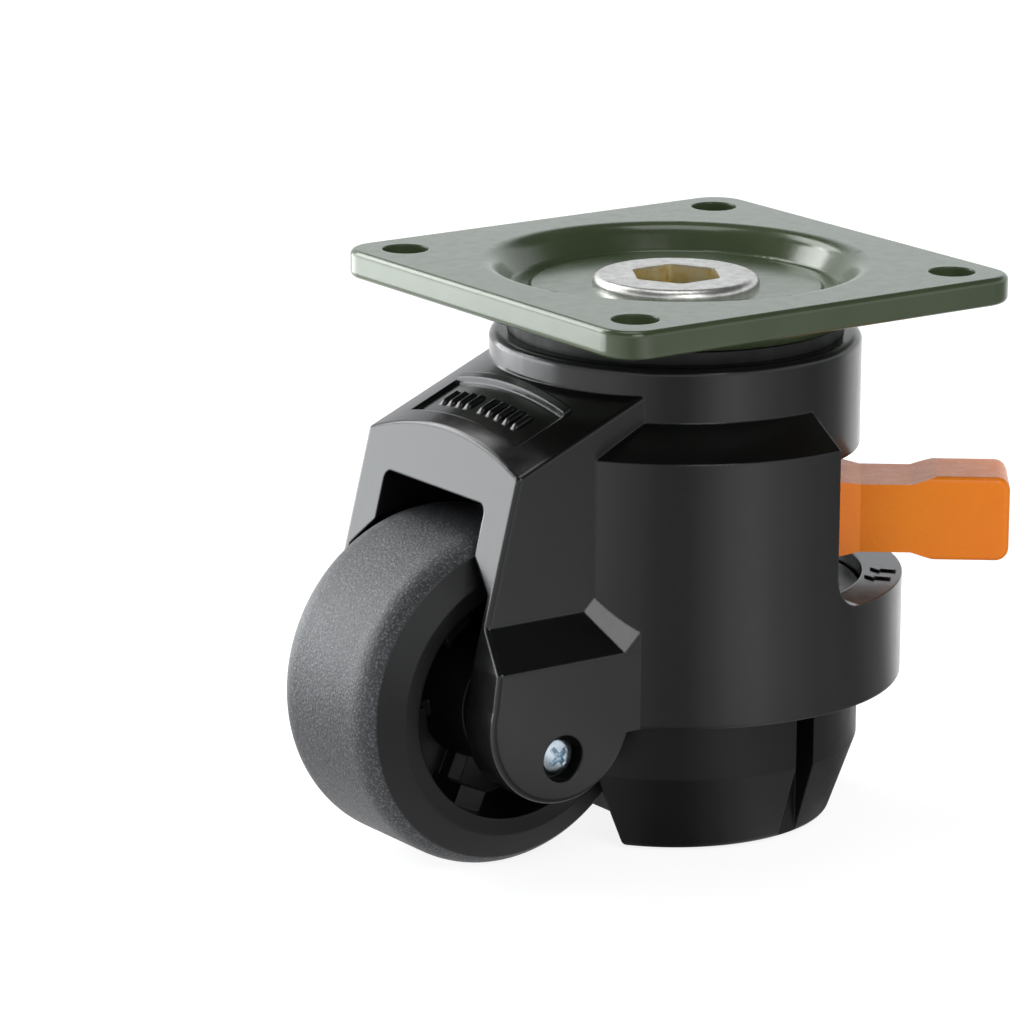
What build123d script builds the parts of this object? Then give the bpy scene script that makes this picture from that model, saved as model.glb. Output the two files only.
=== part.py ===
"""Levelling castor: a swivel castor on a square plate, with a ratchet lever that winds a foot down.

Millimetres. The origin is the centre of the plate's mounting face, on the swivel axis. +Z is up,
+X points to the wheel, and the lever's window faces -X.
"""

from build123d import *
from math import cos, radians, sin, sqrt
import os

os.makedirs("parts", exist_ok=True)

# ---------------------------------------------------------------- fits
running_gap = 0.08  # radial clearance of a running fit
seat_gap = 0.05  # clearance of a piece that is pressed or screwed home
slide_gap = 0.4  # gap between castings that slide past each other

# ---------------------------------------------------------------- top plate and its pressed dish
plate_side = 73.0
plate_t = 4.2
plate_corner_r = 5.5
plate_edge_r = 0.9
bolt_edge = 7.5  # hole centre to the plate's edge
bolt_spacing = plate_side - 2 * bolt_edge
bolt_hole_r = 3.5
dish_rim_r = 27.4
dish_floor_r = 24.8
dish_depth = 4.0
dish_roll_r = 3.0
disc_r = 21.6  # raised middle of the dish
disc_rise = 0.45
dish_crease_r = 0.8
dish_floor_z = -dish_depth
dish_under_z = dish_floor_z - plate_t

# ---------------------------------------------------------------- swivel bearing
ball_r = 2.38
groove_r = ball_r + 0.1
race_gap = 2.0  # between the plate's dish and the collar
upper_race_r = 19.0
upper_ball_count = 22
lower_race_r = 13.5
lower_ball_count = 15
kingpin_r = 9.0
kingpin_bore_r = 6.0
kingpin_head_r = 12.5
kingpin_head_t = 1.5
kingpin_dome_r = 1.3
socket_flats = 12.4
socket_depth = 4.0
socket_corner_r = 1.2
kingpin_pass_gap = 0.5  # play of the kingpin in the collar's web
race_ring_r = 16.5
race_ring_t = 3.0
swage_r = 10.8
swage_t = 1.0

collar_r = 27.8
collar_top_z = dish_under_z - race_gap
collar_bottom_z = -27.0
collar_edge_r = 1.2
web_t = 7.0
web_under_z = collar_top_z - web_t
upper_ball_z = (dish_under_z + collar_top_z) / 2
lower_race_gap = 2.2
lower_ball_z = web_under_z - lower_race_gap / 2
race_ring_top_z = web_under_z - lower_race_gap
race_ring_under_z = race_ring_top_z - race_ring_t
bearing_bore_r = 18.5
seal_outer_r = 25.0
seal_w = 2.0
seal_sink = 0.8  # depth of its groove in the collar
seal_gap = 0.15  # under the plate's dish

# ---------------------------------------------------------------- housing: barrel, hood and fork
barrel_r = 34.6
barrel_bore_r = 28.6
cone_top_z = -18.3
cone_bottom_z = -22.7
barrel_bottom_z = -62.5
barrel_edge_r = 0.5

window_x = -4.6  # the window takes everything behind this plane
shelf_z = -47.0
window_fillet_r = 5.0

axle_x = 37.8
axle_z = -59.0
fork_inner_y = 14.3
hood_half_w = 19.4
boss_face_y = 24.8
boss_r = 12.3
boss_slope_top_z = -44.9
boss_slope_low_z = -50.5
boss_front_rise = 3.1  # where the fork's front edge runs into the boss's round
gusset_x = 26.0
gusset_length = 10.0
gusset_h = 9.0
gusset_plane_x = 30.6
gusset_normal = (11.4, 20.1, 12.0)
hood_front_x = 41.25  # where the front face meets the hood's top
hood_front_lean = 0.255  # forward run of the front face for each mm down
hood_top_z = -11.9  # crown height above hood_rear_x
hood_rear_x = 22.0
hood_slope = 0.424
hood_crown = 3.0  # rise of the crown over the hood's side edges
hood_wall = 4.1  # under the hood's side edges
well_roof_x = 31.0  # rear end of the roof over the wheel
front_lip_z = -28.5
front_lip_t = 3.2
front_edge_r = 0.8
throat_half_w = 12.9  # opening in the front face, above the wheel
throat_corner_r = 1.5
pocket_r = 24.3  # mouth of the pocket that clears the wheel
pocket_floor_r = 20.4
pocket_floor_y = 17.9
hub_boss_r = 9.0
panel_near_x = 30.2
panel_far_x = 38.4
panel_half_w = 13.6
panel_depth = 0.6
panel_bar_w = 1.3
panel_bar_rise = 0.5

# ---------------------------------------------------------------- wheel and axle
wheel_r = 25.4
wheel_half_w = 13.45
wheel_shoulder_r = 5.9
wheel_crease_deg = 45.0  # where the round shoulder breaks into the side face
wheel_flat_r = 19.9  # outer edge of the flat side face
wheel_face_r = 17.4  # inner edge of the flat side face
wheel_hub_r = 9.6
wheel_hub_half_w = 13.1
wheel_web_half_w = 3.0
wheel_lug_half_w = 10.4
wheel_lug_t = 4.8
wheel_lug_h = 3.4
wheel_lug_root = 0.8  # how far the lugs sink into the rim
wheel_lug_turn_deg = -6.0
wheel_lug_count = 6
wheel_draft = 0.6
axle_r = 4.0
axle_slot_depth = 5.2
axle_chamfer = 0.5
bush_r = 6.0
bush_flange_r = 8.0
bush_flange_t = 1.0
bush_length = 10.0
lock_screw_drop = 5.6  # lock screw below the axle
lock_screw_r = 1.5
lock_head_r = 2.5
lock_head_t = 1.8
lock_head_sink = 1.1
lock_recess_r = 3.5
lock_screw_length = 6.9

# ---------------------------------------------------------------- ratchet
screw_r = 5.0
gear_teeth = 24
gear_tip_r = 9.5
gear_root_r = 8.1
tooth_tip_w = 0.6
tooth_base_w = 1.62
tooth_sink = 0.4  # overlap of a tooth with the gear's core
gear_proud = 0.2  # gear ends beyond the lever's head
screw_pass_gap = 0.6  # play of the levelling screw where it only passes through
screw_chamfer = 0.8
washer_t = 1.2
washer_r = 12.5

lever_angle = 37.5  # from -X towards +Y, at rest
lever_mid_z = -37.5
lever_head_r = 13.2
lever_head_h = 13.0
lever_root_half_w = 9.3
lever_root_u = 20.0
lever_neck_u = 28.0
lever_half_w = 6.4
neck_h = 10.4
grip_start_u = 35.6
grip_full_u = 39.2
grip_end_u = 50.2
grip_h = 12.8
grip_tip_r = 2.0  # top and bottom of the grip's end
grip_edge_r = 0.9
pawl_bay_half_w = 7.3
pawl_bay_throat_u = 15.0
pawl_bay_end_half_w = 4.6
pawl_bay_end_u = 20.9
pawl_bay_h = 8.6

pawl_pivot_u = 16.0
pawl_rock = 10.0  # degrees from neutral to engaged
pawl_h = 8.0
pawl_boss_r = 2.7
pawl_tip_r = 8.65  # where the tip ends when engaged
pawl_tip_w = 0.5
pawl_root_r = 9.75
pawl_root_w = 1.5
pawl_hollow_r = 10.5
pawl_hollow_half_w = 1.6
pawl_tip_draft = 0.1
pawl_pin_r = 1.25
pawl_pin_inset = 0.2
pawl_tail_u = 18.8
pawl_tail_half_w = 0.6
spring_t = 0.4
spring_half_w = 4.2
spring_h = 5.0

# ---------------------------------------------------------------- ratchet carrier
spigot_r = 20.5
spigot_t = 3.0
flange_r = 24.5
flange_t = 2.5
carrier_wall_t = 2.0
carrier_wall_x = 2.6  # the chamber wall stands in front of this plane
carrier_lug_x = 5.4
carrier_lug_y = 16.6
carrier_lug_r = 3.0
retainer_t = 2.0
retainer_r = 14.2
small_screw_r = 1.5
small_head_r = 2.75
small_head_t = 1.6
carrier_screw_circle_r = 22.4
carrier_screw_count = 4
carrier_screw_turn_deg = 45.0
drill_over = 1.0  # blind holes end this far beyond their screws
carrier_screw_length = 8.0
retainer_screw_length = 8.0

# ---------------------------------------------------------------- foot
foot_r = barrel_bore_r - slide_gap
foot_top_z = -49.5
foot_cone_z = -72.2
foot_sole_r = 24.0
foot_edge_r = 1.4
foot_crease_r = 0.6
foot_rim_r = 0.8
floor_z = axle_z - wheel_r  # the wheel and the foot stand on this plane
foot_cavity_z = -58.0
foot_wall = 3.0
foot_boss_r = 13.5
foot_slot_x = 10.8
foot_slot_half_w = 14.4
key_x = -4.15
key_groove_w = 3.7
key_groove_y = 23.4
key_bite = 1.0  # the keys end this far inside the barrel's outer face
pad_inset = 2.4
pad_t = 2.2
pad_proud = 0.3
screw_top_z = -21.0
screw_flange_r = 9.0
screw_flange_t = 3.0
screw_flange_top_z = -52.0
screw_hex_flats = 12.0
screw_hex_h = 8.0
screw_key_flats = 6.0
screw_key_depth = 5.0
foot_screw_r = 2.5
foot_screw_head_r = 4.2
foot_screw_head_t = 3.5
foot_screw_recess_r = 6.0
foot_screw_seat_z = -72.0
foot_screw_grip = 4.0  # thread held in the levelling screw

# ---------------------------------------------------------------- heights that follow
flange_top_z = collar_bottom_z
flange_under_z = flange_top_z - flange_t
gear_top_z = flange_under_z - washer_t - 2 * seat_gap
lever_head_top_z = lever_mid_z + lever_head_h / 2
lever_head_under_z = lever_mid_z - lever_head_h / 2
gear_under_z = lever_head_under_z - gear_proud
lower_washer_under_z = gear_under_z - washer_t - seat_gap
retainer_top_z = lower_washer_under_z - seat_gap
retainer_under_z = retainer_top_z - retainer_t
chamber_r = lever_head_r + slide_gap
screw_flange_under_z = screw_flange_top_z - screw_flange_t
screw_hex_under_z = screw_flange_under_z - screw_hex_h
foot_under_z = floor_z + pad_proud
key_inner_y = key_groove_y + slide_gap
carrier_screw_ring = (carrier_screw_circle_r, carrier_screw_count, carrier_screw_turn_deg)

lever_dir = Vector(-cos(radians(lever_angle)), sin(radians(lever_angle)), 0)


def level(z):
    """Horizontal plane at height z."""
    return Plane.XY.offset(z)


def lever_level(z):
    """Horizontal plane at height z, with its x along the lever."""
    return Plane(origin=(0, 0, z), x_dir=lever_dir, z_dir=(0, 0, 1))


def side(y):
    """Upright plane at y, seen from -Y, with its x along X."""
    return Plane.XZ.offset(-y)


wheel_section = Plane(origin=(axle_x, 0, axle_z), x_dir=(0, 1, 0), z_dir=(1, 0, 0))
wheel_axis = Axis((axle_x, 0, axle_z), (0, 1, 0))


def save(name, part):
    """Label a finished piece and write its file."""
    part.label = name
    export_step(part, f"parts/{name}.step")


# ---------------------------------------------------------------- top plate
with BuildPart() as top_plate:
    with BuildSketch(level(-plate_t)):
        RectangleRounded(plate_side, plate_side, plate_corner_r)
    extrude(amount=plate_t)
    fillet(top_plate.edges().filter_by(Plane.XY), radius=plate_edge_r)
    with BuildSketch(Plane.XZ):
        with BuildLine():
            FilletPolyline(
                (0, dish_under_z),
                (dish_floor_r + plate_t / 3, dish_under_z),
                (dish_rim_r + plate_t / 3, -plate_t),
                (dish_rim_r + plate_t + dish_roll_r, -plate_t),
                (dish_rim_r + plate_t + dish_roll_r, -plate_t / 2),
                (0, -plate_t / 2),
                (0, dish_under_z),
                radius=(0, dish_roll_r, dish_roll_r, 0, 0, 0),
            )
        make_face()
    revolve(axis=Axis.Z)
    with BuildSketch(Plane.XZ):
        with BuildLine():
            FilletPolyline(
                (0, dish_floor_z + disc_rise),
                (disc_r, dish_floor_z + disc_rise),
                (disc_r + disc_rise, dish_floor_z),
                (dish_floor_r, dish_floor_z),
                (dish_rim_r, 0),
                (dish_rim_r + dish_roll_r, 0),
                (dish_rim_r + dish_roll_r, plate_t),
                (0, plate_t),
                (0, dish_floor_z + disc_rise),
                radius=(0, disc_rise / 3, disc_rise / 3, dish_crease_r, dish_roll_r, 0, 0, 0),
            )
        make_face()
    revolve(axis=Axis.Z, mode=Mode.SUBTRACT)
    with BuildSketch(Plane.XZ):
        with Locations((upper_race_r, upper_ball_z)):
            Circle(groove_r)
    revolve(axis=Axis.Z, mode=Mode.SUBTRACT)
    with Locations(level(0)):
        Hole(kingpin_r + seat_gap)
        with GridLocations(bolt_spacing, bolt_spacing, 2, 2):
            Hole(bolt_hole_r)
save("top_plate", top_plate.part)

# ---------------------------------------------------------------- swivel bearing
kingpin_seat_z = dish_floor_z + disc_rise
kingpin_top_z = kingpin_seat_z + kingpin_head_t

with BuildPart() as kingpin:
    with BuildSketch(Plane.XZ):
        with BuildLine():
            FilletPolyline(
                (kingpin_bore_r, kingpin_top_z),
                (kingpin_head_r, kingpin_top_z),
                (kingpin_head_r, kingpin_seat_z),
                (kingpin_r, kingpin_seat_z),
                (kingpin_r, race_ring_under_z),
                (swage_r, race_ring_under_z),
                (kingpin_r, race_ring_under_z - swage_t),
                (kingpin_bore_r, race_ring_under_z - swage_t),
                (kingpin_bore_r, kingpin_top_z),
                radius=(0, kingpin_dome_r, 0, 0, 0, 0, 0, 0),
            )
        make_face()
    revolve(axis=Axis.Z)
    with BuildSketch(level(kingpin_top_z)):
        RegularPolygon(radius=socket_flats / 2, side_count=6, major_radius=False)
        fillet(vertices(), radius=socket_corner_r)
    extrude(amount=-socket_depth, mode=Mode.SUBTRACT)
save("kingpin", kingpin.part)

with BuildPart() as race_ring:
    with BuildSketch(level(race_ring_under_z)):
        Circle(race_ring_r)
        Circle(kingpin_r + seat_gap, mode=Mode.SUBTRACT)
    extrude(amount=race_ring_t)
    with BuildSketch(Plane.XZ):
        with Locations((lower_race_r, lower_ball_z)):
            Circle(groove_r)
    revolve(axis=Axis.Z, mode=Mode.SUBTRACT)
save("race_ring", race_ring.part)


def ball_row(name, race_r, z, count):
    """One full row of bearing balls."""
    with BuildPart() as balls:
        with Locations(level(z)):
            with PolarLocations(race_r, count):
                Sphere(ball_r)
    save(name, balls.part)


with BuildPart() as dust_seal:
    with BuildSketch(level(collar_top_z - seal_sink)):
        Circle(seal_outer_r)
        Circle(seal_outer_r - seal_w, mode=Mode.SUBTRACT)
    extrude(amount=dish_under_z - seal_gap - collar_top_z + seal_sink)
save("dust_seal", dust_seal.part)

ball_row("upper_balls", upper_race_r, upper_ball_z, upper_ball_count)
ball_row("lower_balls", lower_race_r, lower_ball_z, lower_ball_count)

# ---------------------------------------------------------------- housing: hood and fork
hood_front_top_z = hood_top_z - hood_slope * (hood_front_x - hood_rear_x)
hood_start_z = collar_top_z - collar_edge_r


def hood_front(z):
    """X of the leaning front face at height z."""
    return hood_front_x + hood_front_lean * (hood_front_top_z - z)


boss_front_x = axle_x + boss_r
well_roof_z = hood_top_z - hood_slope * (well_roof_x - hood_rear_x) - hood_crown - hood_wall
well_rear_x = sqrt(barrel_bore_r**2 - throat_half_w**2)
rim_x = axle_x - sqrt(boss_r**2 - (axle_z - barrel_bottom_z) ** 2)
front_meet_z = axle_z + boss_front_rise
front_meet_x = axle_x + sqrt(boss_r**2 - boss_front_rise**2)

with BuildPart() as fork:
    with BuildSketch(Plane.XZ):
        with BuildLine():
            Polyline(
                (rim_x, barrel_bottom_z),
                (0, barrel_bottom_z),
                (0, hood_start_z),
                (hood_rear_x + (hood_top_z - hood_start_z) / hood_slope, hood_start_z),
                (hood_front_x, hood_front_top_z),
                (hood_front(boss_slope_low_z), boss_slope_low_z),
                (front_meet_x, front_meet_z),
            )
            ThreePointArc(
                (front_meet_x, front_meet_z),
                (axle_x, axle_z - boss_r),
                (rim_x, barrel_bottom_z),
            )
        make_face()
    extrude(amount=boss_face_y, both=True)
    with BuildSketch(Plane.YZ):
        with BuildLine():
            half = Polyline(
                (0, 0),
                (hood_half_w, 0),
                (hood_half_w, boss_slope_top_z),
                (boss_face_y, boss_slope_low_z),
                (boss_face_y, axle_z - 2 * boss_r),
                (0, axle_z - 2 * boss_r),
            )
            mirror(half, about=Plane.YZ)
        make_face()
    extrude(amount=boss_front_x + boss_r, mode=Mode.INTERSECT)


def crown(drop):
    """Arched bar that runs down the hood's slope, its top drop below the hood's top."""
    start = Plane(
        origin=(hood_rear_x, 0, hood_top_z - drop),
        x_dir=(0, 1, 0),
        z_dir=(1, 0, -hood_slope),
    )
    with BuildPart() as bar:
        with BuildSketch(start):
            with BuildLine():
                ThreePointArc((-hood_half_w, -hood_crown), (0, 0), (hood_half_w, -hood_crown))
                Polyline(
                    (hood_half_w, -hood_crown),
                    (boss_face_y + 1, -hood_crown),
                    (boss_face_y + 1, axle_z - 2 * boss_r),
                    (-boss_face_y - 1, axle_z - 2 * boss_r),
                    (-boss_face_y - 1, -hood_crown),
                    (-hood_half_w, -hood_crown),
                )
            make_face()
        extrude(amount=2 * hood_front_x, both=True)
    return bar.part


def panel_box(low_u, high_u, half_w):
    """Upright block over part of the hood's top, between two distances from the swivel axis."""
    with BuildPart() as block:
        with BuildSketch(level(collar_top_z)):
            with Locations(((low_u + high_u) / 2, 0)):
                Rectangle(high_u - low_u, 2 * half_w)
        extrude(amount=front_lip_z - collar_top_z)
    return block.part


# made before the housing, which adds them
hood_and_fork = fork.part & crown(0)
outer_edges = [
    edge
    for edge in hood_and_fork.edges()
    if edge.bounding_box().max.X > hood_front_x and edge.bounding_box().size.Y < hood_half_w + 1
]
hood_and_fork = fillet(outer_edges, radius=front_edge_r)
panel_bar = panel_box(panel_near_x - panel_bar_w, panel_near_x, panel_half_w) & crown(-panel_bar_rise)
panel_cut = panel_box(panel_near_x, panel_far_x, panel_half_w) - crown(panel_depth)

# the wheel's space: a throat through the front face, and a pocket round the wheel's sides
with BuildPart() as wheel_well:
    with BuildSketch(Plane.XZ):
        with BuildLine():
            Polyline(
                (boss_front_x + boss_r, front_lip_z),
                (hood_front(front_lip_z) - front_lip_t, front_lip_z),
                (well_roof_x, well_roof_z),
                (well_rear_x, collar_bottom_z),
                (well_rear_x, axle_z - 2 * boss_r),
                (boss_front_x + boss_r, axle_z - 2 * boss_r),
                close=True,
            )
        make_face()
    extrude(amount=throat_half_w, both=True)
    roof_edges = wheel_well.edges().filter_by(
        lambda edge: abs(edge.center().Y) > throat_half_w - 0.01
        and edge.center().Z > front_lip_z - 0.01
        and edge.center().X > well_roof_x
    )
    fillet(roof_edges, radius=throat_corner_r)
    with BuildSketch(wheel_section):
        with BuildLine():
            half_pocket = Polyline(
                (0, pocket_r),
                (throat_half_w, pocket_r),
                (pocket_floor_y, pocket_floor_r),
                (pocket_floor_y, hub_boss_r),
                (fork_inner_y, hub_boss_r),
                (fork_inner_y, 0),
            )
            mirror(half_pocket, about=Plane.YZ)
            Line((-fork_inner_y, 0), (fork_inner_y, 0))
        make_face()
    revolve(axis=wheel_axis)

# gussets where the bosses run up the barrel
with BuildPart() as gussets:
    with BuildSketch(level(boss_slope_low_z)):
        with Locations((gusset_x, (hood_half_w + boss_face_y) / 2)):
            Rectangle(gusset_length, boss_face_y - hood_half_w)
    extrude(amount=gusset_h)
    gusset_plane = Plane(origin=(gusset_plane_x, hood_half_w, boss_slope_top_z), z_dir=gusset_normal)
    split(bisect_by=gusset_plane, keep=Keep.BOTTOM)
    mirror(about=Plane.XZ)

# ---------------------------------------------------------------- housing
with BuildPart() as housing:
    with BuildSketch(Plane.XZ):
        with BuildLine():
            FilletPolyline(
                (0, cone_top_z),
                (collar_r, cone_top_z),
                (barrel_r, cone_bottom_z),
                (barrel_r, barrel_bottom_z),
                (0, barrel_bottom_z),
                (0, cone_top_z),
                radius=(0, 0, 0, barrel_edge_r, 0),
            )
        make_face()
    revolve(axis=Axis.Z)
    add(hood_and_fork)
    add(gussets.part)
    add(panel_bar)
    add(panel_cut, mode=Mode.SUBTRACT)
    # lever window: everything behind window_x, above the shelf and outside the collar
    with BuildSketch(Plane.XZ):
        with BuildLine():
            Polyline(
                (window_x, shelf_z + window_fillet_r),
                (window_x, collar_top_z + 1),
                (-2 * barrel_r, collar_top_z + 1),
                (-2 * barrel_r, shelf_z),
                (window_x - window_fillet_r, shelf_z),
            )
            RadiusArc(
                (window_x - window_fillet_r, shelf_z),
                (window_x, shelf_z + window_fillet_r),
                -window_fillet_r,
            )
        make_face()
    extrude(amount=2 * barrel_r, both=True, mode=Mode.SUBTRACT)
    # the collar is whole, also over the window
    with BuildSketch(Plane.XZ):
        with BuildLine():
            FilletPolyline(
                (0, collar_top_z),
                (collar_r, collar_top_z),
                (collar_r, collar_bottom_z),
                (0, collar_bottom_z),
                (0, collar_top_z),
                radius=(0, collar_edge_r, 0, 0),
            )
        make_face()
    revolve(axis=Axis.Z)
    # bearing bores, carrier seat and the foot's bore
    with BuildSketch(level(collar_top_z)):
        Circle(kingpin_r + kingpin_pass_gap)
    extrude(amount=-web_t, mode=Mode.SUBTRACT)
    with BuildSketch(level(web_under_z)):
        Circle(bearing_bore_r)
    extrude(amount=collar_bottom_z + spigot_t - web_under_z, mode=Mode.SUBTRACT)
    with BuildSketch(level(collar_bottom_z + spigot_t)):
        Circle(spigot_r)
    extrude(amount=-spigot_t, mode=Mode.SUBTRACT)
    with BuildSketch(level(collar_bottom_z)):
        Circle(barrel_bore_r)
    extrude(amount=barrel_bottom_z - collar_bottom_z, mode=Mode.SUBTRACT)
    with BuildSketch(Plane.XZ):
        with Locations((upper_race_r, upper_ball_z), (lower_race_r, lower_ball_z)):
            Circle(groove_r)
    revolve(axis=Axis.Z, mode=Mode.SUBTRACT)
    add(wheel_well.part, mode=Mode.SUBTRACT)
    # axle slots, open below, in the fork's inner faces
    with BuildSketch(Plane.XZ):
        with Locations((axle_x, axle_z)):
            Circle(axle_r + seat_gap)
        with Locations((axle_x, axle_z - boss_r)):
            Rectangle(2 * (axle_r + seat_gap), 2 * boss_r)
    extrude(amount=fork_inner_y + axle_slot_depth, both=True, mode=Mode.SUBTRACT)
    # lock screw recesses and holes, one in each boss
    for y_dir in (1, -1):
        with BuildSketch(side(y_dir * boss_face_y)):
            with Locations((axle_x, axle_z - lock_screw_drop)):
                Circle(lock_recess_r)
        extrude(amount=y_dir * (lock_head_sink + lock_head_t), mode=Mode.SUBTRACT)
        with BuildSketch(side(y_dir * boss_face_y)):
            with Locations((axle_x, axle_z - lock_screw_drop)):
                Circle(lock_screw_r + seat_gap)
        extrude(amount=y_dir * (boss_face_y - fork_inner_y), mode=Mode.SUBTRACT)
    # groove for the dust seal
    with BuildSketch(level(collar_top_z)):
        Circle(seal_outer_r + seat_gap)
        Circle(seal_outer_r - seal_w - seat_gap, mode=Mode.SUBTRACT)
    extrude(amount=-seal_sink, mode=Mode.SUBTRACT)
    # keys that stop the foot turning
    for y_dir in (1, -1):
        with BuildSketch(level(barrel_bottom_z + key_bite)):
            with Locations((key_x, y_dir * (key_inner_y + barrel_r - key_bite) / 2)):
                Rectangle(key_groove_w - 2 * slide_gap, barrel_r - key_bite - key_inner_y)
        extrude(amount=foot_top_z - barrel_bottom_z)
    # screw holes for the ratchet carrier
    with BuildSketch(level(collar_bottom_z)):
        with PolarLocations(*carrier_screw_ring):
            Circle(small_screw_r + seat_gap)
    extrude(amount=carrier_screw_length - flange_t + small_head_t + drill_over, mode=Mode.SUBTRACT)
save("housing", housing.part)

# ---------------------------------------------------------------- wheel on its fixed axle
crease_y = wheel_half_w - wheel_shoulder_r * (1 - sin(radians(wheel_crease_deg)))
crease_r = wheel_r - wheel_shoulder_r * (1 - cos(radians(wheel_crease_deg)))
arc_mid = radians(wheel_crease_deg / 2)

with BuildPart() as wheel:
    with BuildSketch(wheel_section):
        with BuildLine():
            half = Polyline(
                (0, wheel_r),
                (wheel_half_w - wheel_shoulder_r, wheel_r),
            )
            shoulder = ThreePointArc(
                (wheel_half_w - wheel_shoulder_r, wheel_r),
                (
                    wheel_half_w - wheel_shoulder_r * (1 - sin(arc_mid)),
                    wheel_r - wheel_shoulder_r * (1 - cos(arc_mid)),
                ),
                (crease_y, crease_r),
            )
            face = Polyline(
                (crease_y, crease_r),
                (wheel_half_w, wheel_flat_r),
                (wheel_half_w, wheel_face_r),
                (wheel_web_half_w, wheel_face_r - wheel_draft),
                (wheel_web_half_w, wheel_hub_r + wheel_draft),
                (wheel_hub_half_w, wheel_hub_r),
                (wheel_hub_half_w, bush_r + seat_gap),
                (0, bush_r + seat_gap),
            )
            mirror(half, about=Plane.YZ)
            mirror(shoulder, about=Plane.YZ)
            mirror(face, about=Plane.YZ)
        make_face()
    revolve(axis=wheel_axis)
    # lugs on the rim's inner wall, and ribs that carry the hub, on both faces
    wheel_side = Plane(origin=(axle_x, 0, axle_z), x_dir=(1, 0, 0), z_dir=(0, -1, 0))
    with BuildSketch(wheel_side):
        with PolarLocations(
            wheel_face_r + (wheel_lug_root - wheel_lug_h) / 2,
            wheel_lug_count,
            start_angle=wheel_lug_turn_deg,
        ):
            Rectangle(wheel_lug_h + wheel_lug_root, wheel_lug_t)
    extrude(amount=wheel_lug_half_w, both=True)
    with BuildSketch(wheel_side):
        with PolarLocations(
            (wheel_face_r + wheel_hub_r) / 2, wheel_lug_count, start_angle=wheel_lug_turn_deg
        ):
            Rectangle(wheel_face_r - wheel_hub_r, wheel_lug_t / 2)
    extrude(amount=wheel_lug_half_w / 2, both=True)
save("wheel", wheel.part)

bush_end_y = wheel_hub_half_w + bush_flange_t
with BuildPart() as wheel_bushes:
    for y_dir in (1, -1):
        with BuildSketch(side(y_dir * bush_end_y)):
            with Locations((axle_x, axle_z)):
                Circle(bush_flange_r)
                Circle(axle_r + running_gap, mode=Mode.SUBTRACT)
        extrude(amount=y_dir * bush_flange_t)
        with BuildSketch(side(y_dir * wheel_hub_half_w)):
            with Locations((axle_x, axle_z)):
                Circle(bush_r)
                Circle(axle_r + running_gap, mode=Mode.SUBTRACT)
        extrude(amount=y_dir * bush_length)
save("wheel_bushes", wheel_bushes.part)

axle_half_length = fork_inner_y + axle_slot_depth - seat_gap
with BuildPart() as axle:
    with BuildSketch(side(0)):
        with Locations((axle_x, axle_z)):
            Circle(axle_r)
    extrude(amount=axle_half_length, both=True)
    chamfer(axle.edges().filter_by(GeomType.CIRCLE), length=axle_chamfer)
save("axle", axle.part)

with BuildPart() as axle_lock_screws:
    for y_dir in (1, -1):
        with BuildSketch(side(y_dir * (boss_face_y - lock_head_sink))):
            with Locations((axle_x, axle_z - lock_screw_drop)):
                Circle(lock_head_r)
        extrude(amount=y_dir * lock_head_t)
        with BuildSketch(side(y_dir * (boss_face_y - lock_head_sink - lock_head_t))):
            with Locations((axle_x, axle_z - lock_screw_drop)):
                Circle(lock_screw_r)
        extrude(amount=y_dir * lock_screw_length)
save("axle_lock_screws", axle_lock_screws.part)

# ---------------------------------------------------------------- ratchet carrier
carrier_wall_r = chamber_r + carrier_wall_t
lug_spots = ((carrier_lug_x, carrier_lug_y), (carrier_lug_x, -carrier_lug_y))

with BuildPart() as ratchet_carrier:
    with BuildSketch(level(flange_top_z)):
        Circle(spigot_r - seat_gap)
    extrude(amount=spigot_t - seat_gap)
    with BuildSketch(level(flange_under_z)):
        Circle(flange_r)
    extrude(amount=flange_t)
    with BuildSketch(level(retainer_top_z)):
        Circle(carrier_wall_r)
        with Locations(lug_spots):
            Circle(carrier_lug_r)
        Circle(chamber_r, mode=Mode.SUBTRACT)
        with Locations((carrier_wall_x, 0)):
            Rectangle(
                2 * flange_r, 4 * flange_r, align=(Align.MAX, Align.CENTER), mode=Mode.SUBTRACT
            )
    extrude(amount=flange_under_z - retainer_top_z)
    with Locations(level(0)):
        Hole(screw_r + screw_pass_gap)
    # counterbored holes for the screws into the collar
    with BuildSketch(level(flange_top_z)):
        with PolarLocations(*carrier_screw_ring):
            Circle(small_screw_r + seat_gap)
    extrude(amount=-flange_t, mode=Mode.SUBTRACT)
    with BuildSketch(level(flange_under_z)):
        with PolarLocations(*carrier_screw_ring):
            Circle(small_head_r + seat_gap)
    extrude(amount=small_head_t, mode=Mode.SUBTRACT)
    with BuildSketch(level(retainer_top_z)):
        with Locations(lug_spots):
            Circle(small_screw_r + seat_gap)
    extrude(amount=retainer_screw_length, mode=Mode.SUBTRACT)
save("ratchet_carrier", ratchet_carrier.part)

with BuildPart() as carrier_screws:
    with BuildSketch(level(flange_under_z)):
        with PolarLocations(*carrier_screw_ring):
            Circle(small_head_r)
    extrude(amount=small_head_t)
    with BuildSketch(level(flange_under_z)):
        with PolarLocations(*carrier_screw_ring):
            Circle(small_screw_r)
    extrude(amount=small_head_t + carrier_screw_length)
save("carrier_screws", carrier_screws.part)

with BuildPart() as retaining_plate:
    with BuildSketch(level(retainer_under_z)):
        Circle(retainer_r)
        with Locations(lug_spots):
            Circle(carrier_lug_r)
        make_hull()
        Circle(screw_r + screw_pass_gap, mode=Mode.SUBTRACT)
        with Locations(lug_spots):
            Circle(small_screw_r + seat_gap, mode=Mode.SUBTRACT)
    extrude(amount=retainer_t)
save("retaining_plate", retaining_plate.part)

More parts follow.
